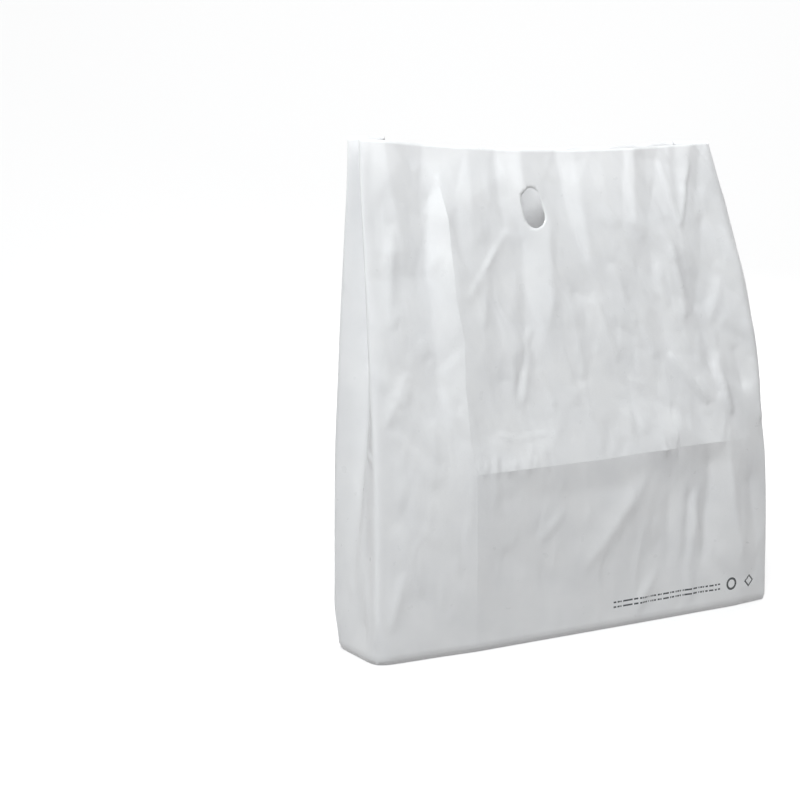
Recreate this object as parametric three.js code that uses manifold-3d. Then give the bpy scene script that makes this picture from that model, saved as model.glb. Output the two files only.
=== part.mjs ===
// A carrier bag of thin white plastic film with a punched hand hole, standing open on its base.
//
// The bag is one piece: a blown tube of film with a gusset folded into each side, welded shut
// along the bottom and punched with one slot through both panels. Standing, the two gussets
// open at the bottom into an oblong base and stay folded inwards at the mouth.
//
// Millimetres, +Z up. The origin is on the floor under the middle of the base, +X runs along the
// front panel to its right, and the front panel faces -Y.
//
// The film is described by its middle surface. Each row of points goes once round the bag, and
// the solid is that surface given its real thickness, so every wall, fold and edge is film.
import * as THREE from "three";
import { mergeVertices } from "three/addons/utils/BufferGeometryUtils.js";
import Module from "manifold-3d";

// Film and flat bag
const FILM_THICKNESS = 0.05;
const BAG_WIDTH = 450;
const GUSSET_DEPTH = 40; // each side panel is two of these wide

// Standing shape
const RIM_HEIGHT = 464; // the highest point of the rim, at its left end
const RIM_DROP_RIGHT = 9; // how much lower the rim's right end is
const RIM_SAG = 9; // how far the middle of the rim hangs below its ends
const CREASE_HEIGHT = 165; // the packing crease across the front and back
const RIM_PULLED_IN = 65; // how far the right end of the mouth leans inwards
const LEAN_POWER = 2.6; // the lean grows with height to this power
const MOUTH_GUSSET_PUSH = 38.5; // how far the gussets' middle folds are pushed in at the mouth
const GUSSET_PUSH_POWER = 1.8;
const RIM_FOLDS_START = 235; // below this height the panels have no rim folds
const PACKING_CREASES = [0.225, 0.9]; // upright creases, as shares of the panel's width

// How far a panel stands proud of the straight line between its side folds, at each height.
const BULGE = [
  [0, 6],
  [CREASE_HEIGHT, 16],
  [200, 10],
  [250, 6],
  [350, 8],
  [RIM_HEIGHT, 13],
];

// The rim seen from above, from its left end to its right end: across, and out of the bag (-)
// or into it (+), both from the panel's own mean line. Each point is a fold.
const FRONT_RIM = [
  [-225, 0],
  [-203, -20],
  [-160, 17],
  [-145, 6],
  [-103, 2],
  [-82, 9],
  [-62, -16],
  [-18, 14],
  [-6, 3],
  [50, -4],
  [62, -9],
  [92, 8],
  [112, -2],
  [135, 2],
  [160, 0],
];
const BACK_RIM = [
  [-225, 0],
  [-190, -17],
  [-138, 16],
  [-84, -14],
  [-30, 15],
  [24, -12],
  [70, 14],
  [118, -13],
  [160, 0],
];

// Hand hole: a slot with round ends, 75 mm long in the flat film. The folds beside it squeeze
// the one in the front panel and turn it almost upright, and draw the back one in a little.
const FRONT_HOLE = { x: -51, z: 399, length: 37, width: 22, turn: 108 };
const BACK_HOLE = { x: -68, z: 398, length: 46, width: 28, turn: 0 };
const HOLE_ARC_STEPS = 16;

// Bottom weld: the margin left beyond the seam, folded back flat under the base
const WELD_MARGIN = 7;
const SEAM_LIFT = 0.4; // the base film's height over the floor at the seam
const FLOOR_GAP = FILM_THICKNESS; // the base's edges clear the floor by less than this

const ROW_HEIGHTS = [0, 82, CREASE_HEIGHT, 200, RIM_FOLDS_START, 280, 325, 370, 415, RIM_HEIGHT];
const WIDEST_COLUMN = 0.045; // share of the panel's width
const SMALLEST_STEP = 0.002; // corners that stand out by less than this are left out

// ---------------------------------------------------------------- shape of the middle surface

const lerp = THREE.MathUtils.lerp;

// Straight-line interpolation through [key, value] pairs.
function between(pairs, key) {
  const next = Math.max(1, pairs.findIndex(([k]) => k >= key));
  const [k0, v0] = pairs[next - 1];
  const [k1, v1] = pairs[next];
  return lerp(v0, v1, (key - k0) / (k1 - k0));
}

// The rim's folds by the share of film used up along it: [share, across, in or out].
function unroll(rim) {
  let used = 0;
  const folds = rim.map(([x, y], i) => {
    if (i > 0) used += Math.hypot(x - rim[i - 1][0], y - rim[i - 1][1]);
    return [used, x, y];
  });
  return folds.map(([length, x, y]) => [length / used, x, y]);
}

const FRONT_FOLDS = unroll(FRONT_RIM);
const BACK_FOLDS = unroll(BACK_RIM);

const leftEdge = () => -BAG_WIDTH / 2;
const rightEdge = (z) => BAG_WIDTH / 2 - RIM_PULLED_IN * (z / RIM_HEIGHT) ** LEAN_POWER;

// A gusset's two halves stay GUSSET_DEPTH wide, so the further its middle fold is pushed in,
// the closer its outer folds come together.
function gussetPush(z) {
  return MOUTH_GUSSET_PUSH * Math.sin((Math.PI / 2) * (z / RIM_HEIGHT)) ** GUSSET_PUSH_POWER;
}
const halfDepth = (z) => Math.sqrt(GUSSET_DEPTH ** 2 - gussetPush(z) ** 2);

// 0 at the side folds and 1 between the two upright packing creases.
function crossBulge(share) {
  const [left, right] = PACKING_CREASES;
  return Math.min(1, share / left, (1 - share) / (1 - right));
}

const rimShare = (z) => THREE.MathUtils.smoothstep(z, RIM_FOLDS_START, RIM_HEIGHT);

// A point of the front (side -1) or back (side +1) panel, at a share of its width from the left.
function panelPoint(side, share, z) {
  const folds = side < 0 ? FRONT_FOLDS : BACK_FOLDS;
  const across = between(folds.map(([s, x]) => [s, x]), share);
  const inwards = between(folds.map(([s, , y]) => [s, y]), share);
  const flatX = lerp(leftEdge(), rightEdge(z), share);
  const folded = rimShare(z);
  const proud = between(BULGE, z) * crossBulge(share);
  const drop = RIM_DROP_RIGHT * share + RIM_SAG * Math.sin(Math.PI * share);
  return new THREE.Vector3(
    lerp(flatX, across, folded),
    side * (halfDepth(z) + proud - inwards * folded),
    FLOOR_GAP + z - drop * (z / RIM_HEIGHT),
  );
}

// The middle fold of the left (side -1) or right (side +1) gusset.
function gussetFold(side, z) {
  const share = side < 0 ? 0 : 1;
  const outer = panelPoint(-1, share, z);
  const lift = z === 0 ? SEAM_LIFT : 0;
  return new THREE.Vector3(outer.x - side * gussetPush(z), 0, outer.z + lift);
}

// Shares of the width where columns stand: every fold of either panel, and enough between them.
function columnShares() {
  const folds = [...FRONT_FOLDS, ...BACK_FOLDS].map(([share]) => share);
  const wanted = [...new Set([...folds, ...PACKING_CREASES])].sort((a, b) => a - b);
  const shares = [0];
  for (const next of wanted.slice(1)) {
    const last = shares.at(-1);
    const steps = Math.ceil((next - last) / WIDEST_COLUMN);
    if (next - last < WIDEST_COLUMN / 9 && next < 1) continue;
    for (let i = 1; i <= steps; i++) shares.push(lerp(last, next, i / steps));
  }
  return shares;
}

// ---------------------------------------------------------------- from surface to solid film

// The middle surface as points and triangles wound to face out of the bag, with the indices of
// the points round the rim.
function middleSurface() {
  const shares = columnShares();
  const points = [];
  const triangles = [];
  const add = (point) => points.push(point) - 1;
  const quad = (a, b, c, d) => triangles.push([a, b, c], [a, c, d]);

  const rows = ROW_HEIGHTS.map((z) => [
    ...shares.map((share) => add(panelPoint(-1, share, z))),
    add(gussetFold(1, z)),
    ...shares.toReversed().map((share) => add(panelPoint(1, share, z))),
    add(gussetFold(-1, z)),
  ]);
  for (let r = 1; r < rows.length; r++) {
    rows[r].forEach((here, i) => {
      const next = (i + 1) % rows[r].length;
      quad(rows[r - 1][i], rows[r - 1][next], rows[r][next], here);
    });
  }

  // The base: the front strip and the back strip meet at the seam between the two gusset folds.
  const last = shares.length - 1;
  const front = rows[0].slice(0, shares.length);
  const back = rows[0].slice(shares.length + 1, -1).reverse();
  const seam = front.map((index, i) => {
    if (i === 0) return rows[0].at(-1);
    if (i === last) return rows[0][shares.length];
    return add(new THREE.Vector3(points[index].x, 0, FLOOR_GAP + SEAM_LIFT));
  });
  for (let i = 0; i < last; i++) {
    quad(front[i + 1], front[i], seam[i], seam[i + 1]);
    quad(seam[i + 1], seam[i], back[i], back[i + 1]);
  }
  return { points, triangles, rim: rows.at(-1) };
}

// At each point, the way out of the bag, as long as it takes for faces moved by it to move by 1:
// longer than 1 where the film is folded, as in a mitre.
function outwardMoves({ points, triangles }) {
  const sums = points.map(() => new THREE.Vector3());
  const areas = points.map(() => 0);
  for (const [a, b, c] of triangles) {
    const ab = new THREE.Vector3().subVectors(points[b], points[a]);
    const ac = new THREE.Vector3().subVectors(points[c], points[a]);
    const face = ab.cross(ac);
    for (const corner of [a, b, c]) {
      sums[corner].add(face);
      areas[corner] += face.length();
    }
  }
  return sums.map((sum, i) => sum.multiplyScalar(areas[i] / sum.lengthSq()));
}

function geometryOf(points, triangles) {
  return new THREE.BufferGeometry().setFromPoints(points).setIndex(triangles.flat());
}

// The film between an outer and an inner copy of the middle surface, joined round the rim.
function filmShell(surface) {
  const { points, triangles, rim } = surface;
  const outward = outwardMoves(surface);
  const offset = (distance) =>
    points.map((point, i) => point.clone().addScaledVector(outward[i], distance));
  const inner = points.length;
  const faces = [...triangles];
  for (const [a, b, c] of triangles) faces.push([c + inner, b + inner, a + inner]);
  rim.forEach((here, i) => {
    const next = rim[(i + 1) % rim.length];
    faces.push([here, next, next + inner], [here, next + inner, here + inner]);
  });
  return geometryOf([...offset(FILM_THICKNESS / 2), ...offset(-FILM_THICKNESS / 2)], faces);
}

// Where the gusset is folded flat on the base, two more layers of film lie over each corner:
// a triangle between the corner, the end of the seam and a point GUSSET_DEPTH along the seam.
function gussetTuck(sideX, sideY) {
  const seamZ = FLOOR_GAP + SEAM_LIFT;
  const corner = new THREE.Vector3(sideX * (BAG_WIDTH / 2), sideY * GUSSET_DEPTH, FLOOR_GAP);
  const seamEnd = new THREE.Vector3(sideX * (BAG_WIDTH / 2), 0, seamZ);
  const tip = new THREE.Vector3(sideX * (BAG_WIDTH / 2 - GUSSET_DEPTH), 0, seamZ);
  const insideFilm = new THREE.Vector3(0, 0, 0.15 * FILM_THICKNESS);
  const topOfLayers = new THREE.Vector3(0, 0, 2.5 * FILM_THICKNESS);
  const outline = [corner, seamEnd, tip];
  const lower = outline.map((point) => point.clone().add(insideFilm));
  const upper = outline.map((point) => point.clone().add(topOfLayers));
  const faces = [
    [0, 2, 1], [3, 4, 5],
    [0, 1, 4], [0, 4, 3],
    [1, 2, 5], [1, 5, 4],
    [2, 0, 3], [2, 3, 5],
  ];
  const facing = sideX * sideY < 0 ? faces : faces.map(([a, b, c]) => [c, b, a]);
  return geometryOf([...lower, ...upper], facing);
}

// The weld margin: both panels' film fused together, two layers thick, folded back under the
// base, and the bend that joins it to the base film at the seam.
function weldMargin() {
  const layers = 2 * FILM_THICKNESS;
  const section = new THREE.Shape()
    .moveTo(0, 0)
    .lineTo(WELD_MARGIN, 0)
    .lineTo(WELD_MARGIN, layers)
    .lineTo(layers, layers)
    .lineTo(layers, FLOOR_GAP + SEAM_LIFT)
    .lineTo(0, FLOOR_GAP + SEAM_LIFT)
    .closePath();
  const margin = new THREE.ExtrudeGeometry(section, { depth: BAG_WIDTH, bevelEnabled: false });
  // The section's x and y become the bag's Y and Z, and the extrusion runs along X.
  const sectionToBag = new THREE.Matrix4().makeBasis(
    new THREE.Vector3(0, 1, 0),
    new THREE.Vector3(0, 0, 1),
    new THREE.Vector3(1, 0, 0),
  );
  return margin.applyMatrix4(sectionToBag).translate(-BAG_WIDTH / 2, 0, 0);
}

// The punch for one panel's hole, from the bag's middle plane out through the panel.
function holePunch(side, hole) {
  const radius = hole.width / 2;
  const straight = hole.length / 2 - radius;
  const slot = new THREE.Shape()
    .absarc(straight, 0, radius, -Math.PI / 2, Math.PI / 2, false)
    .absarc(-straight, 0, radius, Math.PI / 2, (3 * Math.PI) / 2, false)
    .closePath();
  const reach = 2 * GUSSET_DEPTH;
  return new THREE.ExtrudeGeometry(slot, {
    depth: reach,
    bevelEnabled: false,
    curveSegments: HOLE_ARC_STEPS,
  })
    .rotateZ(THREE.MathUtils.degToRad(hole.turn))
    .rotateX(Math.PI / 2)
    .translate(hole.x, side < 0 ? 0 : reach, hole.z);
}

// ---------------------------------------------------------------- joins and cuts

const wasm = await Module();
wasm.setup();

function solidOf(geometry) {
  const bare = geometry.clone();
  bare.deleteAttribute("normal");
  bare.deleteAttribute("uv");
  const merged = mergeVertices(bare, 1e-4);
  return new wasm.Manifold(
    new wasm.Mesh({
      numProp: 3,
      vertProperties: merged.attributes.position.array,
      triVerts: new Uint32Array(merged.index.array),
    }),
  );
}

function geometryFrom(solid) {
  const mesh = solid.getMesh();
  return new THREE.BufferGeometry()
    .setAttribute("position", new THREE.BufferAttribute(mesh.vertProperties, 3))
    .setIndex(new THREE.BufferAttribute(mesh.triVerts, 1));
}

function bagGeometry() {
  let bag = solidOf(filmShell(middleSurface()));
  for (const sideX of [-1, 1]) {
    for (const sideY of [-1, 1]) {
      bag = bag.add(solidOf(gussetTuck(sideX, sideY)));
    }
  }
  bag = bag.add(solidOf(weldMargin()));
  bag = bag.subtract(solidOf(holePunch(-1, FRONT_HOLE)));
  bag = bag.subtract(solidOf(holePunch(1, BACK_HOLE)));
  const geometry = geometryFrom(bag.simplify(SMALLEST_STEP));
  geometry.computeVertexNormals();
  return geometry;
}

const whiteFilm = new THREE.MeshStandardMaterial({
  color: 0xd9dcdd,
  roughness: 0.42,
  metalness: 0,
});

const bag = new THREE.Group();
const film = new THREE.Mesh(bagGeometry(), whiteFilm);
film.name = "bag_film";
bag.add(film);

export default bag;
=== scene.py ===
"""Looks of a carrier bag of thin white plastic film, standing open on its base.

The bag is a blown tube of film with a gusset in each side, welded along the bottom and punched
with a hand hole through both panels. Shapes are worked out in millimetres in the part's frame
(+X along the front panel to its right, the front panel facing -Y, +Z up) and turned into metres
when the mesh is made. A panel is described by the creases in it: the film between them is pulled
taut like a membrane, and scattered facets, folds and small wrinkles lie on top.
"""

import math
from collections import namedtuple

import bpy
import numpy as np
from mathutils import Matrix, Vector
from mathutils.bvhtree import BVHTree
from mathutils.geometry import delaunay_2d_cdt


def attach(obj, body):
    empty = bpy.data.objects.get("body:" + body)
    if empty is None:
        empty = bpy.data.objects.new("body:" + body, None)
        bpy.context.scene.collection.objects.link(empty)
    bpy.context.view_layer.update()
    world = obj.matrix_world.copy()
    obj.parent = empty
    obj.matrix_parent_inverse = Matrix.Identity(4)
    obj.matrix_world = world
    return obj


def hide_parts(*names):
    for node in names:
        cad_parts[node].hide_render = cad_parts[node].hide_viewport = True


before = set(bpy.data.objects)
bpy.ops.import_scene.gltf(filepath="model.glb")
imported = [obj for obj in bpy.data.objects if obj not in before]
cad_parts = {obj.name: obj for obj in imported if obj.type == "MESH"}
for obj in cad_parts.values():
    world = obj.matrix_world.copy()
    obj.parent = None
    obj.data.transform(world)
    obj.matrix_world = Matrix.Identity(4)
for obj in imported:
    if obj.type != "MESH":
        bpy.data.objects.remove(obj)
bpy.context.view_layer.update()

MM = 0.001
TINY = 1e-6
SEED = 11
LEFT, RIGHT = -1, 1
FRONT, BACK = -1, 1

# ------------------------------------------------------------------ driving sizes, millimetres

BAG_WIDTH = 450.0
GUSSET_DEPTH = 40.0
RIM_HEIGHT = 464.0
CREASE_HEIGHT = 166.0
FILM_THICKNESS = 0.1  # drawn at twice the real thickness
RIM_DROP_RIGHT = 9.0  # how much lower the rim's right end is
RIM_SAG = 9.0  # how far the middle of the rim hangs below its ends
RIM_PULLED_IN = 65.0  # how far the right end of the mouth leans inwards
LEAN_POWER = 2.6
RIGHT_DENT = 3.0  # the dip in the right side, just above the packing crease
RIGHT_DENT_HEIGHT = 196.0
RIGHT_DENT_REACH = 26.0
MOUTH_GUSSET_PUSH = 38.5  # how far the gussets' middle folds are pushed in at the mouth
GUSSET_PUSH_POWER = 1.8
SIDE_ROUNDING = 6.0  # radius of the film's turn at the side folds
FOOT_CORNER_ROUNDING = {LEFT: 20.0, RIGHT: 5.0}  # near the floor the left folds are rounder
FOOT_CORNER_REACH = 45.0
UPPER_ROUNDING = {LEFT: 14.0, RIGHT: 9.0}  # and so are both above the packing crease
UPPER_ROUNDING_START, UPPER_ROUNDING_END = 165.0, 260.0
SWELL_END = 200.0  # above this height the side folds stand out by their full swell
FOOT_ROUNDING = 2.5  # radius of the turn from the walls to the base
FLOOR_GAP = 0.15
SEAM_LIFT = 0.4  # the base film's height over the floor at the seam
LAYER_GAP = 0.25  # between the layers of film folded over the base
WELD_MARGIN = 7.0
WELD_SQUASH = 0.25  # the weld's height over the floor, as a share of the seam's
WELD_CLEARANCE = 0.02

# The hand hole as it stands: where its centre is, and the angle of its length in degrees.
# Folds squeeze the front one; the back one lies almost flat.
Hole = namedtuple("Hole", "x z length width angle")
FRONT_HOLE = Hole(x=-51.0, z=399.0, length=37.0, width=21.0, angle=108.0)
BACK_HOLE = Hole(x=-68.0, z=398.0, length=46.0, width=28.0, angle=0.0)

# ------------------------------------------------------------------ rows and columns of the mesh

UPRIGHT_CREASE_SHARE = 0.88  # how far up the upper wall the upright crease stays sharp
LEVEL_CREASE_END = 12  # columns from the right fold where the level crease has faded out
FRONT_COLUMNS = 170
BACK_COLUMNS = 112
GUSSET_COLUMNS = 10  # in each half of a gusset
LOWER_ROWS = 34
UPPER_ROWS = 108
BASE_ROWS = 6
WELD_ROWS = 2
BACK_START = FRONT_COLUMNS + 2 * GUSSET_COLUMNS  # the first column of the back panel
FLOOR_ROW = WELD_ROWS + BASE_ROWS  # the lowest row of the walls
CREASE_ROW = FLOOR_ROW + LOWER_ROWS

# ------------------------------------------------------------------ creases, millimetres
# Each crease is a line of (across, height, how far it stands out of the plane of the side folds).

FRONT_CREASES = {
    "bottom edge": [(-225, 0, 0), (-160, 0, 3), (-122, 0, 6), (60, 0, 6), (180, 0, 5), (225, 0, 0)],
    "level packing crease": [
        (-129, 169, 16),
        (-60, 171, 17),
        (20, 172, 17),
        (80, 174, 17),
        (98, 174, 15),
        (110, 175, 15.5),
        (150, 174, 14),
        (196, 172, 6),
    ],
    "upright packing crease, below": [(-122, 0, 6), (-126, 80, 12), (-129, 169, 16)],
    "upright packing crease, above": [
        (-129, 169, 16),
        (-134, 200, 13.5),
        (-136, 250, 12),
        (-135, 290, 12),
        (-141, 330, 12.5),
        (-143, 360, 12.5),
        (-145, 400, 12.5),
        (-148, 420, 10),
        (-150, 434, 8.5),
    ],
    "left of the upright crease": [
        (-150, 434, 8.5),
        (-157, 415, 3.5),
        (-162, 375, 1.5),
        (-163, 340, 2.5),
        (-161, 300, 4),
        (-160, 250, 5.5),
        (-158, 215, 9),
    ],
    "middle of the left side": [(-186, 330, 3.5), (-187, 230, 4.5), (-186, 165, 6.5), (-184, 60, 4)],
    "rim fold 1": [(-205, 464, 10), (-202, 440, 9), (-192, 400, 6.5), (-186, 355, 4)],
    "rim valley 1": [(-164, 464, 5), (-165, 440, 4.5), (-168, 400, 3), (-184, 352, 3.5)],
    "rim fold 2": [(-119, 464, 8), (-118, 420, 10), (-118, 380, 10)],
    "rim valley 2": [(-134, 464, 7), (-134, 420, 9), (-132, 360, 11)],
    "rim valley 3": [(-88, 464, 3), (-86, 430, 4), (-82, 400, 4.5), (-80, 388, 5)],
    "handle fold": [(-64, 464, 9.5), (-63, 440, 10), (-60, 420, 10)],
    "right of the hole": [(-36, 420, 5.5), (-32, 400, 7.5), (-36, 382, 10)],
    "left of the hole": [(-68, 412, 6.5), (-66, 385, 5)],
    "below the handle": [
        (-36, 382, 10),
        (-35, 350, 11.5),
        (-37, 320, 11.5),
        (-45, 295, 10.5),
        (-56, 265, 9),
    ],
    "below the handle, left": [(-62, 380, 5), (-63, 330, 6.5), (-66, 300, 7.5), (-56, 265, 9)],
    "slanting crease": [(-80, 388, 7), (-105, 358, 10), (-128, 330, 12)],
    "rim valley 4": [(-21, 464, 2), (-16, 440, 2), (-9, 400, 3.5), (5, 364, 4.5)],
    "rim fold 4": [(-4, 464, 7), (0, 440, 7), (5, 400, 7.5), (11, 366, 7)],
    "middle of the rim": [(28, 464, 8.5), (28, 430, 9), (28, 390, 7)],
    "rim valley 5": [(50, 464, 9), (50, 420, 7.5), (49, 375, 7)],
    "rim fold 5": [(62, 464, 12), (61, 420, 10.5), (63, 392, 9.5), (71, 380, 9)],
    "rim valley 6": [(93, 464, 6.5), (88, 420, 5.5), (71, 380, 9)],
    "rim fold 6": [(105, 464, 8.5), (109, 420, 8), (119, 387, 8)],
    "rim valley 7": [(114, 464, 6.5), (116, 425, 7)],
    "rim fold 7": [(128, 464, 8.5), (125, 420, 8), (119, 387, 8)],
    "rim valley 8": [(142, 464, 5), (143, 420, 3.5)],
    "right fold 1": [(146, 392, 3), (142, 340, 3), (132, 306, 3.5)],
    "right valley 1": [(158, 350, 3), (150, 312, 3)],
    "right valley, edge": [(180, 262, 3), (188, 226, 2)],
    "right fold 2": [(98, 264, 8), (117, 238, 8.5), (131, 214, 9.5), (149, 212, 8.5)],
    "right fold 3": [(155, 256, 8), (162, 227, 8.5), (170, 198, 8)],
    "right valley 2": [(138, 285, 3.5), (147, 248, 4.5), (154, 222, 6)],
    "right valley 3": [(82, 366, 6), (89, 330, 4.5), (94, 285, 4.5)],
    "right fold 4": [(92, 405, 8.5), (108, 350, 8.5), (117, 300, 8)],
    "beside the right fold": [
        (152, 460, 6),
        (171, 400, 7),
        (183, 350, 9),
        (193, 300, 9),
        (202, 250, 6.5),
        (210, 190, 5),
    ],
    "middle, high": [(-10, 330, 6), (30, 320, 6.5), (62, 300, 7)],
    "middle, low": [(-95, 252, 8), (-44, 238, 9.5), (12, 252, 8.5), (56, 232, 9.5), (88, 242, 8)],
    "just above the crease": [(-112, 204, 11.5), (-84, 198, 12.5), (-46, 204, 12)],
    "just below the crease": [(-100, 142, 13), (-30, 142, 13), (40, 144, 13)],
    "below, middle": [(-95, 90, 9), (-50, 60, 7.5), (-40, 20, 6.5)],
    "soft slanting fold": [(72, 152, 13), (48, 118, 12.5), (18, 88, 11.5), (-8, 64, 8.5)],
    "below, right valley 1": [(94, 146, 11), (92, 110, 7.5), (94, 60, 6)],
    "below, right fold 1": [(111, 150, 11.5), (109, 110, 9.5), (107, 62, 7.5)],
    "below, right valley 2": [(117, 125, 8), (115, 90, 7.5), (114, 62, 6.5)],
    "below, right fold 2": [(124, 124, 10), (125, 95, 9), (121, 55, 7.5)],
    "below, right valley 3": [(141, 156, 9), (139, 110, 5.5), (137, 60, 5)],
    "below, right fold 3": [(165, 166, 12), (171, 115, 13), (184, 60, 10.5), (196, 22, 5)],
    "below, right valley 4": [(196, 130, 3), (202, 80, 3)],
}

BACK_CREASES = {
    "bottom edge": [(-225, 0, 0), (-170, 0, 5), (120, 0, 6), (180, 0, 5), (225, 0, 0)],
    "level packing crease": [(-190, 170, 6), (-120, 168, 13), (0, 166, 15), (128, 166, 14)],
    "upright packing crease, below": [(124, 0, 6), (126, 80, 10), (128, 166, 14)],
    "upright packing crease, above": [(128, 166, 14), (124, 240, 12), (118, 320, 11), (110, 380, 8)],
    "middle, low": [(-130, 235, 8), (-40, 230, 7), (60, 235, 8)],
    "below, middle": [(-120, 90, 8.5), (0, 60, 7), (90, 70, 8)],
    "rim fold 1": [(-200, 464, 7), (-188, 400, 6.5), (-176, 330, 6)],
    "rim valley 1": [(-165, 464, 0), (-164, 400, 2), (-172, 320, 4.5)],
    "rim fold 2": [(-122, 464, 8), (-124, 400, 9), (-131, 300, 8)],
    "rim valley 2": [(-88, 464, -6), (-92, 390, 0), (-104, 290, 6)],
    "rim fold 3": [(-36, 464, 1), (-36, 400, 4), (-48, 340, 8)],
    "rim valley 3": [(-8, 464, -6), (-14, 380, 0), (-30, 300, 6)],
    "rim fold 4": [(34, 464, 8), (22, 400, 10), (4, 310, 9)],
    "rim valley 4": [(60, 464, 1), (58, 390, 3), (50, 330, 6)],
    "rim fold 5": [(96, 464, 6), (86, 410, 8)],
    "rim valley 5": [(112, 464, 2), (106, 410, 4), (96, 350, 7)],
    "rim fold 6": [(142, 464, 4), (146, 400, 6), (158, 330, 6)],
    "slanting fold 1": [(-60, 150, 14), (-90, 100, 12), (-124, 62, 8.5)],
    "slanting fold 2": [(150, 290, 8), (130, 250, 11), (90, 215, 10)],
    "valley 6": [(170, 250, 3), (180, 150, 4), (184, 60, 3)],
}

CREASES = {FRONT: FRONT_CREASES, BACK: BACK_CREASES}

# Folds that stand on the taut film, each from its foot to its head: (across, height) of both ends,
# how high its crest is, and how far it reaches to the left and to the right of the crest.
FRONT_FOLDS = [
    ((-128, 328), (-82, 386), 1.1, 6, 12),
    ((-110, 352), (-92, 374), 0.9, 4, 5),
    ((118, 386), (94, 450), 2.2, 5, 9),
    ((119, 386), (129, 448), 2.2, 9, 5),
    ((140, 212), (98, 266), 4.0, 9, 9),
    ((147, 214), (128, 240), 2.0, 8, 7),
    ((170, 198), (150, 252), 3.8, 10, 8),
    ((150, 288), (165, 334), 1.6, 13, 12),
    ((96, 308), (88, 352), 2.0, 10, 14),
    ((122, 300), (104, 372), 2.2, 16, 10),
    ((60, 296), (34, 356), 1.8, 18, 10),
    ((82, 262), (56, 318), 1.6, 10, 14),
    ((36, 262), (12, 330), 1.6, 16, 12),
    ((-4, 250), (-18, 336), 1.4, 12, 16),
    ((72, 206), (48, 248), 1.4, 12, 8),
    ((-40, 226), (-56, 262), 1.6, 10, 8),
    ((-74, 230), (-61, 302), 2.2, 7, 22),
    ((-114, 300), (-104, 352), 1.4, 14, 10),
    ((-106, 204), (-84, 198), 1.0, 4, 4),
    ((-86, 198), (-46, 202), 0.9, 4, 4),
    ((-206, 300), (-196, 392), 1.6, 12, 14),
    ((-214, 214), (-190, 262), 1.8, 12, 16),
    ((-160, 182), (-206, 246), 1.6, 16, 14),
    ((-180, 60), (-204, 128), 1.8, 18, 16),
    ((-150, 96), (-168, 152), 1.2, 12, 14),
    ((-212, 30), (-196, 84), 1.6, 12, 16),
    ((-8, 62), (66, 152), 1.7, 22, 15),
    ((-60, 96), (-30, 126), 1.2, 12, 8),
    ((56, 10), (82, 54), 1.4, 12, 9),
    ((126, 12), (118, 52), 1.4, 10, 10),
]

BACK_FOLDS = [
    ((-190, 210), (-160, 300), 2.4, 16, 12),
    ((-150, 190), (-96, 268), 2.6, 14, 18),
    ((-60, 200), (-78, 290), 2.2, 12, 16),
    ((0, 190), (-30, 262), 2.4, 18, 12),
    ((52, 196), (30, 300), 2.2, 14, 14),
    ((96, 190), (80, 262), 2.0, 10, 14),
    ((160, 180), (138, 280), 2.6, 14, 12),
    ((196, 150), (178, 240), 2.0, 12, 10),
    ((-170, 30), (-150, 140), 2.0, 16, 16),
    ((-90, 20), (-40, 120), 2.2, 18, 14),
    ((40, 20), (70, 130), 1.8, 16, 18),
    ((150, 20), (136, 120), 2.0, 12, 14),
]

# On the left gusset, across is from its front fold at -40 to its back fold at 40.
LEFT_GUSSET_FOLDS = [
    ((-6, 60), (-10, 182), 2.0, 12, 14),
    ((-38, 184), (-8, 186), 1.8, 6, 6),
    ((-30, 20), (-14, 90), 1.4, 10, 10),
]

# Scattered folds: how many, in which area (low x, high x, low z, high z), how far they lean from
# the upright (radians), and their size.
FRONT_SCATTER = [
    (46, (-215, 205, 180, 455), 0.1, 0.9),
    (60, (10, 200, 185, 400), 0.6, 0.75),
    (70, (-120, 205, 180, 440), 0.5, 0.4),
    (26, (-215, -130, 20, 440), 0.0, 1.0),
    (16, (60, 210, 8, 160), 0.1, 0.9),
]
BACK_SCATTER = [
    (90, (-215, 205, 180, 455), -0.2, 1.2),
    (30, (-210, 210, 10, 160), 0, 1.0),
]
FOLD_TURN = 0.5  # standard deviation of a scattered fold's direction, radians
FOLD_LENGTHS = (14, 60)
FOLD_HEIGHTS = (0.25, 0.85)
FOLD_REACHES = (5, 16)
CREST_POWER = 1.6  # folds are steepest at the crest and fade into the film
NARROW_END = 0.35  # how wide a fold is at its ends, as a share of its middle

# Small upright puckers on the level crease: the span that their feet are in, and how many.
FRONT_PUCKERS = [(-122, -104, 4), (-98, -86, 3), (-76, -50, 5), (78, 104, 4)]
BACK_PUCKERS = [(-150, 110, 16)]
PUCKER_LEAN = 6
PUCKER_FOOT = 166
PUCKER_TOPS = (178, 192)
PUCKER_HEIGHTS = (0.9, 1.7)
PUCKER_REACHES = (2, 4)

# Facets are flatter below the level packing crease, and change over across the front's middle.
CREASE_ZONE = (160, 200)
MIDDLE_ZONE = (-30, 70)

# The small relief fades out over this share of a panel's width at each side fold, and over this
# height at the floor. On a gusset it fades over a share of each half.
EDGE_FADE = 0.04
FOOT_FADE = 14
GUSSET_FADE = 0.3

# ------------------------------------------------------------------ standing shape of the tube


def smoothstep(x, low, high):
    """0 below low, 1 above high, and a smooth step between."""
    t = np.clip((x - low) / (high - low), 0, 1)
    return t * t * (3 - 2 * t)


def side_rounding(side, z):
    """The radius of the film's turn at a side fold."""
    upper = UPPER_ROUNDING[side] - SIDE_ROUNDING
    upper = upper * smoothstep(z, UPPER_ROUNDING_START, UPPER_ROUNDING_END)
    foot = FOOT_CORNER_ROUNDING[side] - SIDE_ROUNDING
    foot = foot * (1 - smoothstep(z, 0, FOOT_CORNER_REACH))
    return SIDE_ROUNDING + upper + foot


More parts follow.
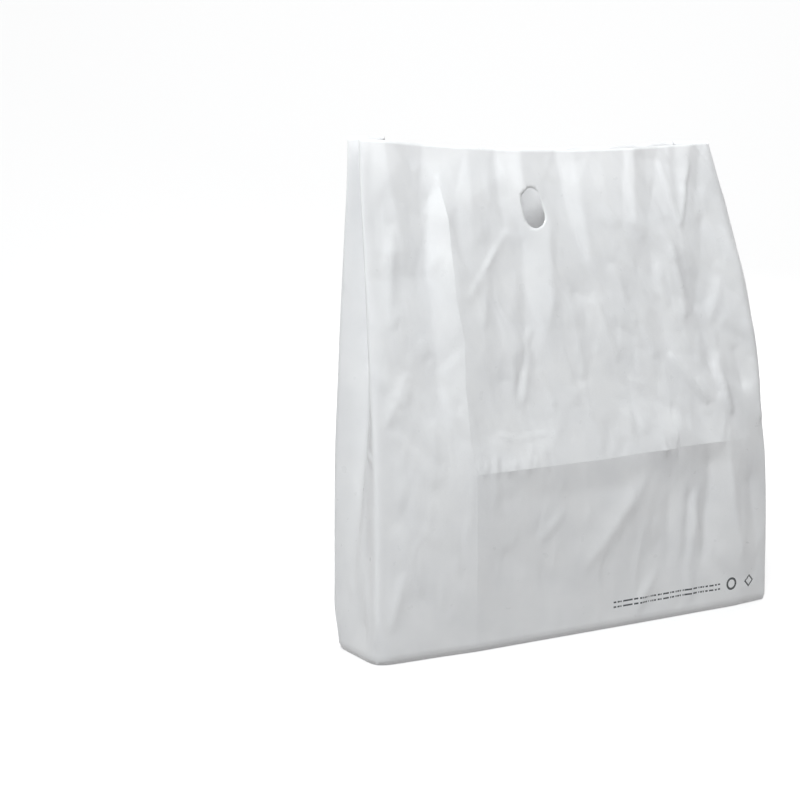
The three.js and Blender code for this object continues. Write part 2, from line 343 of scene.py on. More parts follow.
def side_swell(side, z):
    """A rounder fold stands further out, so that its roundest point stays at the bag's side."""
    turned_in = side_rounding(side, z) * (1 + gusset_push(z) / GUSSET_DEPTH)
    return (turned_in - SIDE_ROUNDING) / 4 * smoothstep(z, FOOT_CORNER_REACH, SWELL_END)


def left_edge(z):
    """Where the corner between the front panel and the left gusset is, before it is rounded."""
    return -BAG_WIDTH / 2 - side_swell(LEFT, z)


def right_edge(z):
    """Where the corner on the right is: it leans in towards the mouth."""
    leaning = BAG_WIDTH / 2 - RIM_PULLED_IN * (np.maximum(z, 0) / RIM_HEIGHT) ** LEAN_POWER
    dent = RIGHT_DENT * np.exp(-(((z - RIGHT_DENT_HEIGHT) / RIGHT_DENT_REACH) ** 2))
    return leaning - dent + side_swell(RIGHT, z)


def gusset_push(z):
    """How far a gusset's middle fold is pushed into the bag."""
    return MOUTH_GUSSET_PUSH * np.sin(math.pi / 2 * z / RIM_HEIGHT) ** GUSSET_PUSH_POWER


def half_depth(z):
    """Half the bag's depth at its sides: a gusset's halves keep their width as they fold in."""
    return np.sqrt(GUSSET_DEPTH**2 - gusset_push(z) ** 2)


def rim_drop(share, z):
    """How far film hangs below the height that it has at the bag's left side."""
    drop = RIM_DROP_RIGHT * share + RIM_SAG * np.sin(math.pi * share)
    return drop * z / RIM_HEIGHT


def wall_heights():
    """Heights of the rows of points in the walls, with one row along the packing crease."""
    lower = np.linspace(0, CREASE_HEIGHT, LOWER_ROWS + 1)
    upper = np.linspace(CREASE_HEIGHT, RIM_HEIGHT, UPPER_ROWS + 1)
    return np.concatenate([lower, upper[1:]])


def moved_knot(value, knot, new_knot, end):
    """Values from 0 to end, stretched so that the knot lands on the new knot."""
    low = value * new_knot / knot
    high = new_knot + (value - knot) * (end - new_knot) / (end - knot)
    return np.where(value < knot, low, high)


def panel_shares(side):
    """How far across a panel its columns are laid out."""
    columns = FRONT_COLUMNS if side == FRONT else BACK_COLUMNS
    return np.linspace(0, 1, columns + 1)


def gusset_shares():
    """How far across a gusset its own columns are laid out, without those of its folds."""
    return np.linspace(0, 1, 2 * GUSSET_COLUMNS + 1)[1:-1]


def aligned(shares, heights, creases):
    """A panel's grid of shares and heights, with a column and a row along its packing creases."""
    share, z = np.meshgrid(shares, heights)
    level = np.array(creases["level packing crease"])
    level_share = (level[:, 0] + BAG_WIDTH / 2) / BAG_WIDTH
    level_share = np.concatenate([[0], level_share, [1]])
    level_z = np.concatenate([[CREASE_HEIGHT], level[:, 1], [CREASE_HEIGHT]])
    z = moved_knot(z, CREASE_HEIGHT, np.interp(share, level_share, level_z), RIM_HEIGHT)

    below = creases["upright packing crease, below"]
    upright = np.array(below[:-1] + creases["upright packing crease, above"])
    crease_x = np.interp(z, upright[:, 1], upright[:, 0])
    crease_share = (crease_x - left_edge(z)) / (right_edge(z) - left_edge(z))
    column = crease_column(shares, creases)
    return moved_knot(share, shares[column], crease_share, 1), z


def crease_column(shares, creases):
    """The column that lies along a panel's upright packing crease."""
    foot = creases["upright packing crease, below"][0][0]
    return int(np.argmin(np.abs(shares - (foot / BAG_WIDTH + 0.5))))


def rounded_fold(distance, rounding):
    """Film near a side fold, as its way from the corner along its own side and the other side."""
    t = np.clip((1 - distance / rounding) / 2, 0, 0.5)
    along = np.where(t > 0, rounding * (1 - t) ** 2, distance)
    return along, rounding * t**2


def foot_inset(z):
    """How far the film has curved in under the bag, near the floor."""
    below = np.clip(1 - z / FOOT_ROUNDING, 0, 1)
    return FOOT_ROUNDING * (1 - np.sqrt(1 - below**2))


# ------------------------------------------------------------------ taut film between creases

GRID_COLUMNS = 226
GRID_ROWS = 233
CREASE_HOLD = 12.0  # how hard a crease holds the film, next to the film's own pull
SOLVER_STEPS = 500


def crease_samples(creases):
    """Points about a millimetre apart along the creases, as shares of the grid, and heights."""
    points = []
    for line in creases.values():
        for (x0, z0, out0), (x1, z1, out1) in zip(line, line[1:]):
            steps = max(2, int(math.hypot(x1 - x0, z1 - z0)))
            t = np.linspace(0, 1, steps)[:, None]
            points.append((1 - t) * [x0, z0, out0] + t * [x1, z1, out1])
    x, z, out = np.concatenate(points).T
    share = (x - left_edge(z)) / (right_edge(z) - left_edge(z))
    return np.clip(share, 0, 1), np.clip(z / RIM_HEIGHT, 0, 1), out


def corner_weights(across, up):
    """For each point, the four grid corners round it and their bilinear weights."""
    column = np.minimum((across * (GRID_COLUMNS - 1)).astype(int), GRID_COLUMNS - 2)
    row = np.minimum((up * (GRID_ROWS - 1)).astype(int), GRID_ROWS - 2)
    s = across * (GRID_COLUMNS - 1) - column
    t = up * (GRID_ROWS - 1) - row
    first = row * GRID_COLUMNS + column
    corners = np.stack([first, first + 1, first + GRID_COLUMNS, first + GRID_COLUMNS + 1], -1)
    weights = np.stack([(1 - s) * (1 - t), s * (1 - t), (1 - s) * t, s * t], -1)
    return corners, weights


def tension(grid):
    """How hard its neighbours pull each grid point."""
    pull = np.zeros_like(grid)
    across = np.diff(grid, axis=1)
    pull[:, :-1] -= across
    pull[:, 1:] += across
    up = np.diff(grid, axis=0)
    pull[:-1] -= up
    pull[1:] += up
    return pull


def taut_relief(creases):
    """The film's height on a grid, taut between the creases and level with the side folds."""
    across, up, out = crease_samples(creases)
    side_up = np.linspace(0, 1, GRID_ROWS)
    across = np.concatenate([across, np.zeros(GRID_ROWS), np.ones(GRID_ROWS)])
    up = np.concatenate([up, side_up, side_up])
    out = np.concatenate([out, np.zeros(2 * GRID_ROWS)])
    corners, weights = corner_weights(across, up)
    size = GRID_ROWS * GRID_COLUMNS

    def spread(values):
        """Shares the creases' pull out over the grid points round them."""
        held = CREASE_HOLD * weights * values[:, None]
        return np.bincount(corners.ravel(), held.ravel(), size)

    def pulled(flat):
        """The pull of the film and of the creases on each grid point."""
        held = spread((flat[corners] * weights).sum(-1))
        return tension(flat.reshape(GRID_ROWS, GRID_COLUMNS)).ravel() + held

    # Conjugate gradients: the film comes to rest where both pulls balance.
    height = np.zeros(size)
    left_over = spread(out)
    direction = left_over.copy()
    energy = left_over @ left_over
    for _ in range(SOLVER_STEPS):
        moved = pulled(direction)
        step = energy / (direction @ moved)
        height += step * direction
        left_over -= step * moved
        next_energy = left_over @ left_over
        direction = left_over + next_energy / energy * direction
        energy = next_energy
    return height.reshape(GRID_ROWS, GRID_COLUMNS)


def read_grid(grid, across, up):
    """The grid's height at points given as shares of its width and height."""
    corners, weights = corner_weights(across.ravel(), up.ravel())
    return (grid.ravel()[corners] * weights).sum(-1).reshape(across.shape)


# ------------------------------------------------------------------ facets, folds and wrinkles

FACET_MARGIN = 3  # cells of facets beyond the panel's edges
FACET_JITTER = 0.42
PROBE_DEPTH = 100.0  # rays that read the facets start this far out


def facets(x, z, rng, cell, lean, height):
    """Flat facets between scattered points at random heights, meeting in crisp creases.

    A cell is (across, up) in size, and lean is how far its points shift across for each
    millimetre up.
    """
    columns = int(BAG_WIDTH / cell[0]) + 2 * FACET_MARGIN
    rows = int(RIM_HEIGHT / cell[1]) + 2 * FACET_MARGIN
    i, j = np.meshgrid(np.arange(columns), np.arange(rows))
    jitter = rng.uniform(-FACET_JITTER, FACET_JITTER, (2, rows, columns))
    s = (i + 0.5 * (j % 2) + jitter[0]).ravel() - columns / 2
    t = (j + jitter[1]).ravel() - rows / 2
    corners, _, triangles, *_ = delaunay_2d_cdt(
        [Vector(pair) for pair in zip(s.tolist(), t.tolist())], [], [], 0, TINY
    )
    heights = rng.uniform(-height, height, len(corners))
    vertices = [
        (c.x * cell[0] + lean * c.y * cell[1], out, c.y * cell[1] + RIM_HEIGHT / 2)
        for c, out in zip(corners, heights.tolist())
    ]
    surface = BVHTree.FromPolygons(vertices, triangles)
    inwards = Vector((0, -1, 0))
    relief = np.zeros(x.size)
    for index, (at_x, at_z) in enumerate(zip(x.ravel().tolist(), z.ravel().tolist())):
        hit = surface.ray_cast(Vector((at_x, PROBE_DEPTH, at_z)), inwards)[0]
        if hit is not None:
            relief[index] = hit.y
    return relief.reshape(x.shape)


def add_fold(relief, x, z, fold):
    """Adds one tapering ridge (or groove, with a negative height) with a sharp crest."""
    start, end, height, left_reach, right_reach = fold
    along = np.subtract(end, start)
    length = math.hypot(*along)
    along = along / length
    dx, dz = x - start[0], z - start[1]
    t = (dx * along[0] + dz * along[1]) / length
    off = dx * along[1] - dz * along[0]
    taper = np.sqrt(np.clip(4 * t * (1 - t), 0, 1))
    reach = np.where(off < 0, left_reach, right_reach) * (NARROW_END + (1 - NARROW_END) * taper)
    relief += height * taper * np.maximum(0, 1 - np.abs(off) / reach) ** CREST_POWER


def scatter_folds(relief, x, z, rng, scatter):
    """Scatters short folds over areas of a panel."""
    for count, (low_x, high_x, low_z, high_z), lean, size in scatter:
        for _ in range(count):
            angle = math.pi / 2 + lean + rng.normal(0, FOLD_TURN)
            length = rng.uniform(*FOLD_LENGTHS) * size
            half = np.array([math.cos(angle), math.sin(angle)]) * length / 2
            middle = np.array([rng.uniform(low_x, high_x), rng.uniform(low_z, high_z)])
            height = rng.choice([-1, 1]) * rng.uniform(*FOLD_HEIGHTS) * size
            left_reach, right_reach = rng.uniform(*FOLD_REACHES, 2) * size
            fold = (middle - half, middle + half, height, left_reach, right_reach)
            add_fold(relief, x, z, fold)


def crease_puckers(relief, x, z, rng, spans):
    """Small upright puckers that rise from the level packing crease."""
    feet = np.concatenate([rng.uniform(*span) for span in spans])
    for foot in feet:
        top_x = foot + rng.uniform(-PUCKER_LEAN, PUCKER_LEAN)
        top = (top_x, rng.uniform(*PUCKER_TOPS))
        height = rng.uniform(*PUCKER_HEIGHTS)
        left_reach, right_reach = rng.uniform(*PUCKER_REACHES, 2)
        add_fold(relief, x, z, ((foot, PUCKER_FOOT), top, height, left_reach, right_reach))


def weaker_below(z, weakest):
    """1 above the level packing crease, and down to the weakest value below it."""
    return weakest + (1 - weakest) * smoothstep(z, *CREASE_ZONE)


def front_relief(x, z):
    """The front's small relief: upright facets on the left and slanting ones on the right."""
    rng = np.random.default_rng(SEED)
    rightward = smoothstep(x, *MIDDLE_ZONE)
    upright = facets(x, z, rng, cell=(40, 74), lean=-0.15, height=2.1)
    slanting = facets(x, z, rng, cell=(30, 52), lean=-0.75, height=2.9)
    relief = (upright * (1 - rightward) + slanting * rightward) * weaker_below(z, 0.3)
    relief += facets(x, z, rng, cell=(17, 30), lean=-0.5, height=1.1) * weaker_below(z, 0.25)
    scatter_folds(relief, x, z, rng, FRONT_SCATTER)
    for fold in FRONT_FOLDS:
        add_fold(relief, x, z, fold)
    crease_puckers(relief, x, z, rng, FRONT_PUCKERS)
    return relief


def back_relief(x, z):
    """The back's small relief, with facets that lean the other way."""
    rng = np.random.default_rng(SEED + 1)
    relief = facets(x, z, rng, cell=(38, 66), lean=0.3, height=2.6) * weaker_below(z, 0.35)
    relief += facets(x, z, rng, cell=(19, 34), lean=0.4, height=0.9) * weaker_below(z, 0.3)
    scatter_folds(relief, x, z, rng, BACK_SCATTER)
    for fold in BACK_FOLDS:
        add_fold(relief, x, z, fold)
    crease_puckers(relief, x, z, rng, BACK_PUCKERS)
    return relief


def gusset_relief(side, across_film, z):
    """A gusset's small relief; only the left one has single folds."""
    rng = np.random.default_rng(SEED + 2 + side)
    relief = facets(across_film, z, rng, cell=(26, 60), lean=0.2, height=1.6)
    relief += facets(across_film, z, rng, cell=(12, 30), lean=-0.3, height=0.5)
    if side == LEFT:
        for fold in LEFT_GUSSET_FOLDS:
            add_fold(relief, across_film, z, fold)
    return relief


def panel_relief(side, share, z):
    """How far the front or back panel stands out of the plane of its side folds."""
    taut = taut_relief(CREASES[side])
    x = left_edge(z) + share * (right_edge(z) - left_edge(z))
    relief = front_relief(x, z) if side == FRONT else back_relief(x, z)
    edge_fade = np.clip(np.minimum(share, 1 - share) / EDGE_FADE, 0, 1)
    foot_fade = np.clip(z / FOOT_FADE, 0, 1)
    return read_grid(taut, share, z / RIM_HEIGHT) + relief * edge_fade * foot_fade


# ------------------------------------------------------------------ the tube as a grid of points


def wall_points(side, shares, heights):
    """The points of the front or back panel, row by row."""
    share, z = aligned(shares, heights, CREASES[side])
    out = panel_relief(side, share, z)
    width = right_edge(z) - left_edge(z)
    rounding = np.where(share < 0.5, side_rounding(LEFT, z), side_rounding(RIGHT, z))
    along, turned = rounded_fold(np.minimum(share, 1 - share) * width, rounding)
    along = along + turned * gusset_push(z) / GUSSET_DEPTH
    x = np.where(share < 0.5, left_edge(z) + along, right_edge(z) - along)
    y = side * (half_depth(z) * (1 - turned / GUSSET_DEPTH) + out - foot_inset(z))
    return np.stack([x, y, FLOOR_GAP + z - rim_drop(share, z)], -1)


def gusset_points(side, across, heights):
    """A side panel from its front fold to its back fold, with its middle fold pushed in."""
    run, z = np.meshgrid(across, heights)
    to_fold = 1 - np.abs(1 - 2 * run)
    share = np.full_like(z, 0.0 if side == LEFT else 1.0)
    edge = left_edge(z) if side == LEFT else right_edge(z)
    relief = gusset_relief(side, (run - 0.5) * 2 * GUSSET_DEPTH, z)
    relief *= np.clip(to_fold / GUSSET_FADE, 0, 1) * np.clip(z / FOOT_FADE, 0, 1)
    along, turned = rounded_fold(to_fold * GUSSET_DEPTH, side_rounding(side, z))
    push = gusset_push(z) * along / GUSSET_DEPTH + turned + foot_inset(z)
    x = edge - side * (push - relief)
    y = np.where(run < 0.5, -1, 1) * half_depth(z) * (1 - along / GUSSET_DEPTH)
    return np.stack([x, y, FLOOR_GAP + z - rim_drop(share, z)], -1)


def base_strip(side, foot):
    """The base film between a panel's bottom edge and the seam, from the edge inwards."""
    inward = np.linspace(0, 1, BASE_ROWS + 1)[1:, None]
    strip = np.empty((BASE_ROWS, len(foot), 3))
    strip[..., 0] = foot[:, 0]
    strip[..., 1] = (1 - inward) * foot[:, 1]
    strip[..., 2] = FLOOR_GAP + SEAM_LIFT * inward
    return strip


def tuck_points(side, across):
    """The gusset's film below the base, folded flat in two layers over each base corner."""
    depth = GUSSET_DEPTH - FOOT_ROUNDING
    step, run = np.meshgrid(np.arange(1, BASE_ROWS + 1) / BASE_ROWS, across, indexing="ij")
    w = depth * step
    g = depth * (1 - np.abs(1 - 2 * run))
    along = np.minimum(g, w)
    inward = np.where(g <= w, w, g)
    layer = np.where(g <= w, 1, 2)
    x = side * (BAG_WIDTH / 2 - FOOT_ROUNDING - along)
    y = np.where(run <= 0.5, -1, 1) * (depth - inward)
    z = FLOOR_GAP + SEAM_LIFT * inward / depth + layer * LAYER_GAP
    return np.stack([x, y, z], -1)


def weld_rows(seam):
    """The margin beyond the seam: all layers turned down at the seam and folded back flat."""
    low = seam[0] * [1, 0, WELD_SQUASH] + [0, 0, WELD_CLEARANCE]
    end = low + [0, WELD_MARGIN, 0]
    return np.stack([end, low])


def tube():
    """All points of the tube: rows from the weld up to the rim, columns once round the bag."""
    heights = wall_heights()
    across = gusset_shares()
    panels = [
        wall_points(FRONT, panel_shares(FRONT), heights),
        gusset_points(RIGHT, across, heights),
        wall_points(BACK, panel_shares(BACK)[::-1], heights),
        gusset_points(LEFT, across[::-1], heights),
    ]
    bases = [
        base_strip(FRONT, panels[0][0]),
        tuck_points(RIGHT, across),
        base_strip(BACK, panels[2][0]),
        tuck_points(LEFT, across[::-1]),
    ]
    walls = np.concatenate(panels, axis=1)
    base = np.concatenate(bases, axis=1)[::-1]
    return np.concatenate([weld_rows(base[:1]), base, walls], axis=0)


def film_map():
    """For each point of the tube, its place on the flat film: across and up, millimetres."""
    down = np.linspace(1, 0, BASE_ROWS, endpoint=False)
    margin = [-GUSSET_DEPTH - WELD_MARGIN, -GUSSET_DEPTH - SEAM_LIFT]
    v = np.concatenate([margin, -GUSSET_DEPTH * down, wall_heights()])
    gusset = BAG_WIDTH + 2 * GUSSET_DEPTH * gusset_shares()
    front, back = BAG_WIDTH * panel_shares(FRONT), BAG_WIDTH * panel_shares(BACK)
    half_way = BAG_WIDTH + 2 * GUSSET_DEPTH
    u = np.concatenate([front, gusset, half_way + back, half_way + gusset])
    return np.meshgrid(u, v)


def from_slot_core(x, z, hole):
    """The way from the hole's middle line to each point: across, up and its length."""
    along_x, along_z = math.cos(math.radians(hole.angle)), math.sin(math.radians(hole.angle))
    dx, dz = x - hole.x, z - hole.z
    reach = (hole.length - hole.width) / 2
    t = np.clip(dx * along_x + dz * along_z, -reach, reach)
    away_x, away_z = dx - t * along_x, dz - t * along_z
    return away_x, away_z, np.hypot(away_x, away_z)


def snapped_to_slot(points, hole):
    """The points moved along the panel onto the outline of the hole."""
    away_x, away_z, distance = from_slot_core(points[:, 0], points[:, 2], hole)
    move = hole.width / 2 / np.maximum(distance, TINY) - 1
    points[:, 0] += away_x * move
    points[:, 2] += away_z * move
    return points


def tube_quads(rows, columns):
    """The faces between neighbouring rows, all the way round."""
    r, c = np.meshgrid(np.arange(rows - 1), np.arange(columns), indexing="ij")
    n = (c + 1) % columns
    below, above = r * columns, (r + 1) * columns
    return np.stack([below + c, below + n, above + n, above + c], -1).reshape(-1, 4)


def punch(points, quads, columns):
    """Cuts the hand holes: leaves out the faces inside and fits the edge to the outline."""
    column = quads[:, 0] % columns
    on_front = column < FRONT_COLUMNS
    on_back = (column >= BACK_START) & (column < BACK_START + BACK_COLUMNS)
    middle = points[quads].mean(axis=1)
    punched = np.zeros(len(quads), dtype=bool)
    for hole, on_panel in ((FRONT_HOLE, on_front), (BACK_HOLE, on_back)):
        inside = from_slot_core(middle[:, 0], middle[:, 2], hole)[2] < hole.width / 2
        cut = on_panel & inside
        edge = np.intersect1d(quads[cut], quads[~cut])
        points[edge] = snapped_to_slot(points[edge], hole)
        punched |= cut
    return quads[~punched]


def face_map(quads):
    """The flat film's coordinates at each face's corners, in metres."""
    u, v = film_map()
    corners = np.stack([u.ravel(), v.ravel()], -1)[quads]
    wraps = np.ptp(corners[..., 0], axis=1) > BAG_WIDTH
    once_round = 2 * BAG_WIDTH + 4 * GUSSET_DEPTH
    corners[wraps, :, 0] += np.where(corners[wraps, :, 0] < BAG_WIDTH, once_round, 0)
    return corners * MM


def mark_creases(mesh, columns):
    """Shades the level and upright packing creases as sharp."""
    front_crease = crease_column(panel_shares(FRONT), FRONT_CREASES)
    back_end = BACK_START + BACK_COLUMNS
    back_crease = back_end - crease_column(panel_shares(BACK), BACK_CREASES)
    top_row = CREASE_ROW + int(UPPER_ROWS * UPRIGHT_CREASE_SHARE)
    ends = np.empty(2 * len(mesh.edges), dtype=np.int32)
    mesh.edges.foreach_get("vertices", ends)
    row, column = np.divmod(ends.reshape(-1, 2), columns)
    upright = (column[:, 0] == column[:, 1]) & np.isin(column[:, 0], (front_crease, back_crease))
    upright &= (row.min(axis=1) >= FLOOR_ROW) & (row.max(axis=1) <= top_row)
    front_part = (column >= front_crease) & (column <= FRONT_COLUMNS - LEVEL_CREASE_END)
    back_part = (column >= back_crease) & (column <= back_end - LEVEL_CREASE_END)
    level = (row == CREASE_ROW).all(axis=1) & (front_part | back_part).all(axis=1)
    sharp = mesh.attributes.new("sharp_edge", "BOOLEAN", "EDGE")
    sharp.data.foreach_set("value", upright | level)


def film_mesh(name):
    """The whole bag as one sheet of faces, with the flat film's coordinates on it."""
    grid = tube()
    rows, columns, _ = grid.shape
    points = grid.reshape(-1, 3)
    quads = punch(points, tube_quads(rows, columns), columns)
    mesh = bpy.data.meshes.new(name)
    mesh.from_pydata((points * MM).tolist(), [], quads.tolist())
    layer = mesh.uv_layers.new(name="film")
    layer.data.foreach_set("uv", face_map(quads).ravel())
    mesh.shade_smooth()
    mark_creases(mesh, columns)
    return mesh


# ------------------------------------------------------------------ material

# The print on the flat film, in metres from the front panel's left fold and from the floor.
PRINT_COLOUR = (0.045, 0.05, 0.055, 1)
PRINT_LINES = (0.0205, 0.0252)  # heights of the two rows of bars
PRINT_LINE_HALF = 0.0008  # half a row's height
PRINT_START, PRINT_END = 0.256, 0.385
PRINT_BARS = 460  # about so many bars and gaps to a metre
PRINT_GAP_LEVEL = 0.47
PRINT_RING = (0.3995, 0.0238, 0.0052)  # centre across and up, and radius
PRINT_DIAMOND = (0.4225, 0.0240, 0.0054)
PRINT_STROKE = 0.0011  # half a stroke's width

DULL_WHITE = (0.845, 0.848, 0.862, 1)
BRIGHT_WHITE = (0.895, 0.895, 0.902, 1)


class Nodes:
    """Short ways to add nodes to a material and join them."""

    def __init__(self, material):
        self.tree = material.node_tree

    def add(self, kind, inputs=None, **settings):
        """A new node, with sockets linked and numbers set by the name or place of the input."""
        made = self.tree.nodes.new(kind)
        for key, value in settings.items():
            setattr(made, key, value)
        for key, value in (inputs or {}).items():
            if isinstance(value, bpy.types.NodeSocket):
                self.tree.links.new(value, made.inputs[key])
            else:
                made.inputs[key].default_value = value
        return made

    def stretched(self, place, ways):
        """The place multiplied by a different number each way."""
        return self.add("ShaderNodeVectorMath", {0: place, 1: ways}, operation="MULTIPLY").outputs[0]

    def math(self, operation, *values):
        """One sum of sockets and numbers."""
        inputs = dict(enumerate(values))
        return self.add("ShaderNodeMath", inputs, operation=operation).outputs[0]

    def near(self, value, target, reach):
        """1 where the value is within reach of the target, and 0 elsewhere."""
        return self.math("COMPARE", value, target, reach)


def print_mask(nodes, u, v):
    """Where the plain printed marks are: two rows of bars, a ring and a diamond."""
    along_row = nodes.math("MULTIPLY", u, PRINT_BARS)
    flat = nodes.add("ShaderNodeCombineXYZ", {"X": along_row, "Y": v}).outputs[0]
    gaps = nodes.add("ShaderNodeTexNoise", {"Vector": flat, "Scale": 1.0, "Detail": 0.0})
    bars = nodes.math("GREATER_THAN", gaps.outputs["Fac"], PRINT_GAP_LEVEL)
    middle, half = (PRINT_START + PRINT_END) / 2, (PRINT_END - PRINT_START) / 2
    bars = nodes.math("MULTIPLY", bars, nodes.near(u, middle, half))
    rows = [nodes.near(v, height, PRINT_LINE_HALF) for height in PRINT_LINES]
    bars = nodes.math("MULTIPLY", bars, nodes.math("MAXIMUM", *rows))

    ring_x, ring_z, radius = PRINT_RING
    du, dv = nodes.math("SUBTRACT", u, ring_x), nodes.math("SUBTRACT", v, ring_z)
    squares = nodes.math("ADD", nodes.math("MULTIPLY", du, du), nodes.math("MULTIPLY", dv, dv))
    ring = nodes.near(nodes.math("SQRT", squares), radius, PRINT_STROKE)

    diamond_x, diamond_z, size = PRINT_DIAMOND
    across = nodes.math("ABSOLUTE", nodes.math("SUBTRACT", u, diamond_x))
    up = nodes.math("ABSOLUTE", nodes.math("SUBTRACT", v, diamond_z))
    diamond = nodes.near(nodes.math("ADD", across, up), size, PRINT_STROKE)
    return nodes.math("MAXIMUM", bars, nodes.math("MAXIMUM", ring, diamond))


def film_colour(nodes, place):
    """A slightly mottled white with the print on it."""
    parts = nodes.add("ShaderNodeSeparateXYZ", {"Vector": place}).outputs
    mottle = nodes.add("ShaderNodeTexNoise", {"Vector": place, "Scale": 22.0, "Detail": 5.0})
    whites = nodes.add("ShaderNodeValToRGB", {"Fac": mottle.outputs["Fac"]})
    dull, bright = whites.color_ramp.elements
    dull.position, dull.color = 0.3, DULL_WHITE
    bright.position, bright.color = 0.7, BRIGHT_WHITE
    mask = print_mask(nodes, parts["X"], parts["Y"])
    inputs = {0: mask, 6: whites.outputs["Color"], 7: PRINT_COLOUR}
    return nodes.add("ShaderNodeMix", inputs, data_type="RGBA").outputs[2]


def film_gloss(nodes, place):
    """Gloss that changes from place to place, as on film that was handled."""
    smears = nodes.add("ShaderNodeTexNoise", {"Vector": place, "Scale": 70.0, "Detail": 4.0})
    levels = {"From Min": 0.3, "From Max": 0.7, "To Min": 0.27, "To Max": 0.45}
    levels["Value"] = smears.outputs["Fac"]
    return nodes.add("ShaderNodeMapRange", levels).outputs["Result"]


def film_surface(nodes, place):
    """Fine crinkles, with faint streaks along the way that the film was blown."""
    crinkle_ways = nodes.stretched(place, (1.7, 0.8, 1))
    crinkle = nodes.add(
        "ShaderNodeTexNoise",
        {"Vector": crinkle_ways, "Scale": 26.0, "Detail": 4.0, "Distortion": 0.6},
        noise_type="RIDGED_MULTIFRACTAL",
        normalize=True,
    )
    crinkles = {"Height": crinkle.outputs["Fac"], "Strength": 0.5, "Distance": 0.002}
    crinkled = nodes.add("ShaderNodeBump", crinkles)
    streak_ways = nodes.stretched(place, (900, 9, 1))
    streak = nodes.add("ShaderNodeTexNoise", {"Vector": streak_ways, "Scale": 1.0, "Detail": 2.0})
    streaks = {"Height": streak.outputs["Fac"], "Strength": 0.12, "Distance": 0.0001}
    streaks["Normal"] = crinkled.outputs["Normal"]
    return nodes.add("ShaderNodeBump", streaks).outputs["Normal"]


def white_film():
    """Milky film that lets a little light through."""
    material = bpy.data.materials.new("white film")
    material.use_nodes = True
    nodes = Nodes(material)
    shader = material.node_tree.nodes["Principled BSDF"]
    place = nodes.add("ShaderNodeUVMap", uv_map="film").outputs[0]
    links = material.node_tree.links
    links.new(film_colour(nodes, place), shader.inputs["Base Color"])
    links.new(film_gloss(nodes, place), shader.inputs["Roughness"])
    links.new(film_surface(nodes, place), shader.inputs["Normal"])
    shader.inputs["Subsurface Weight"].default_value = 0.25
    shader.inputs["Subsurface Radius"].default_value = (1, 1, 1)
    shader.inputs["Subsurface Scale"].default_value = 0.004
    return material


# ------------------------------------------------------------------ the piece

film = bpy.data.objects.new("bag_film_skin", film_mesh("bag_film_skin"))
bpy.context.scene.collection.objects.link(film)
solid = film.modifiers.new("film thickness", "SOLIDIFY")
solid.thickness = FILM_THICKNESS * MM
solid.offset = 0
film.data.materials.append(white_film())
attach(film, "root")
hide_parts("bag_film")

# ------------------------------------------------------------------ floor, light and camera

CAMERA_PLACE = (-1.018, -1.438, 0.510)
CAMERA_YAW = math.radians(30.33)
CAMERA_PITCH = math.radians(9.52)
CAMERA_LENS = 85  # millimetres, on a sensor 36 wide

COVE_RADIUS = 4.4
COVE_BEND = 1.6  # radius of the bend from the floor up to the wall
COVE_TOP = 5.5
BEND_STEPS = 16
COVE_SIDES = 96
BACKDROP_GREY = (0.36, 0.36, 0.36, 1)
BACKDROP_GLOW = 0.56

BAG_MIDDLE = (0, 0, 0.2)
COOL_WHITE = (0.96, 1.0, 1.01)


def backdrop_paint():
    """Matt pale grey that glows evenly."""
    paint = bpy.data.materials.new("backdrop paint")
    paint.use_nodes = True
    shader = paint.node_tree.nodes["Principled BSDF"]
    shader.inputs["Base Color"].default_value = BACKDROP_GREY
    shader.inputs["Roughness"].default_value = 0.9
    shader.inputs["Emission Color"].default_value = (1, 1, 1, 1)
    shader.inputs["Emission Strength"].default_value = BACKDROP_GLOW
    return paint


def cove_profile():
    """The backdrop's section from the edge of its flat floor to its top: (radius, height)."""
    flat_end = COVE_RADIUS - COVE_BEND
    profile = []
    for i in range(BEND_STEPS + 1):
        turn = math.pi / 2 * i / BEND_STEPS
        profile.append((flat_end + COVE_BEND * math.sin(turn), COVE_BEND * (1 - math.cos(turn))))
    profile.append((COVE_RADIUS, COVE_TOP))
    return profile


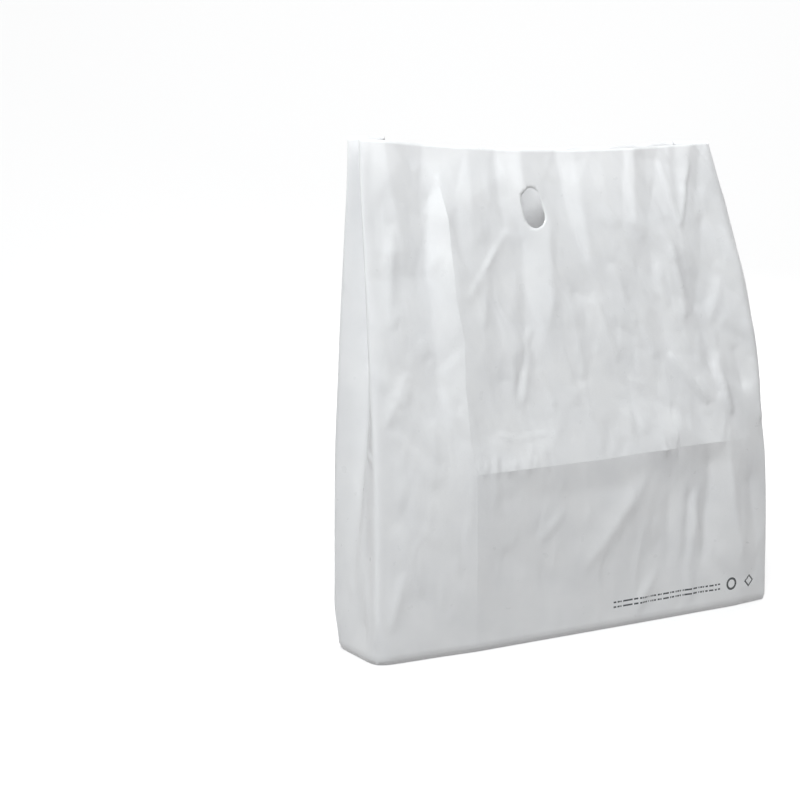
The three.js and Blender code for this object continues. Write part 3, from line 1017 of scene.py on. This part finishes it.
def backdrop():
    """A round pale floor that curves up into a wall all round.

    It glows a little, like a light table, and throws no light back on the bag.
    """
    profile = cove_profile()
    turns = [2 * math.pi * i / COVE_SIDES for i in range(COVE_SIDES)]
    vertices = [(r * math.cos(a), r * math.sin(a), z) for r, z in profile for a in turns]
    faces = [tuple(range(COVE_SIDES))]
    for ring in range(len(profile) - 1):
        low, high = ring * COVE_SIDES, (ring + 1) * COVE_SIDES
        for i in range(COVE_SIDES):
            n = (i + 1) % COVE_SIDES
            faces.append((low + n, low + i, high + i, high + n))
    mesh = bpy.data.meshes.new("backdrop")
    mesh.from_pydata(vertices, [], faces)
    mesh.shade_smooth()
    mesh.materials.append(backdrop_paint())
    stage = bpy.data.objects.new("backdrop", mesh)
    stage.visible_diffuse = False
    bpy.context.scene.collection.objects.link(stage)


def area_light(name, place, aim, size, watts, colour=(1, 1, 1)):
    """A square lamp at a place, turned towards the point that it is aimed at."""
    lamp = bpy.data.lights.new(name, "AREA")
    lamp.size = size
    lamp.energy = watts
    lamp.color = colour
    light = bpy.data.objects.new(name, lamp)
    light.location = place
    light.rotation_euler = (Vector(aim) - Vector(place)).to_track_quat("-Z", "Y").to_euler()
    bpy.context.scene.collection.objects.link(light)


def camera():
    """A long lens a little above the bag, to the left of its front."""
    data = bpy.data.cameras.new("camera")
    data.lens = CAMERA_LENS
    data.sensor_width = 36
    data.clip_end = 30
    viewer = bpy.data.objects.new("camera", data)
    viewer.location = CAMERA_PLACE
    viewer.rotation_euler = (math.pi / 2 - CAMERA_PITCH, 0, -CAMERA_YAW)
    bpy.context.scene.collection.objects.link(viewer)
    bpy.context.scene.camera = viewer


def soft_daylight(strength):
    """Even white light from all round."""
    world = bpy.data.worlds.new("studio")
    world.use_nodes = True
    background = world.node_tree.nodes["Background"]
    background.inputs["Color"].default_value = (1, 1, 1, 1)
    background.inputs["Strength"].default_value = strength
    bpy.context.scene.world = world


backdrop()
area_light("key", (-1.6, -1.45, 2.9), BAG_MIDDLE, size=0.8, watts=108, colour=COOL_WHITE)
area_light("back", (1.9, 1.2, 1.5), BAG_MIDDLE, size=0.8, watts=24)
area_light("backdrop wash", (0.9, 1.5, 3.0), (1.7, 2.9, 0.9), size=2.0, watts=60)
soft_daylight(0.45)
camera()

view = bpy.context.scene.view_settings
view.view_transform = "Standard"
view.look = "None"
view.exposure = 0
view.gamma = 1
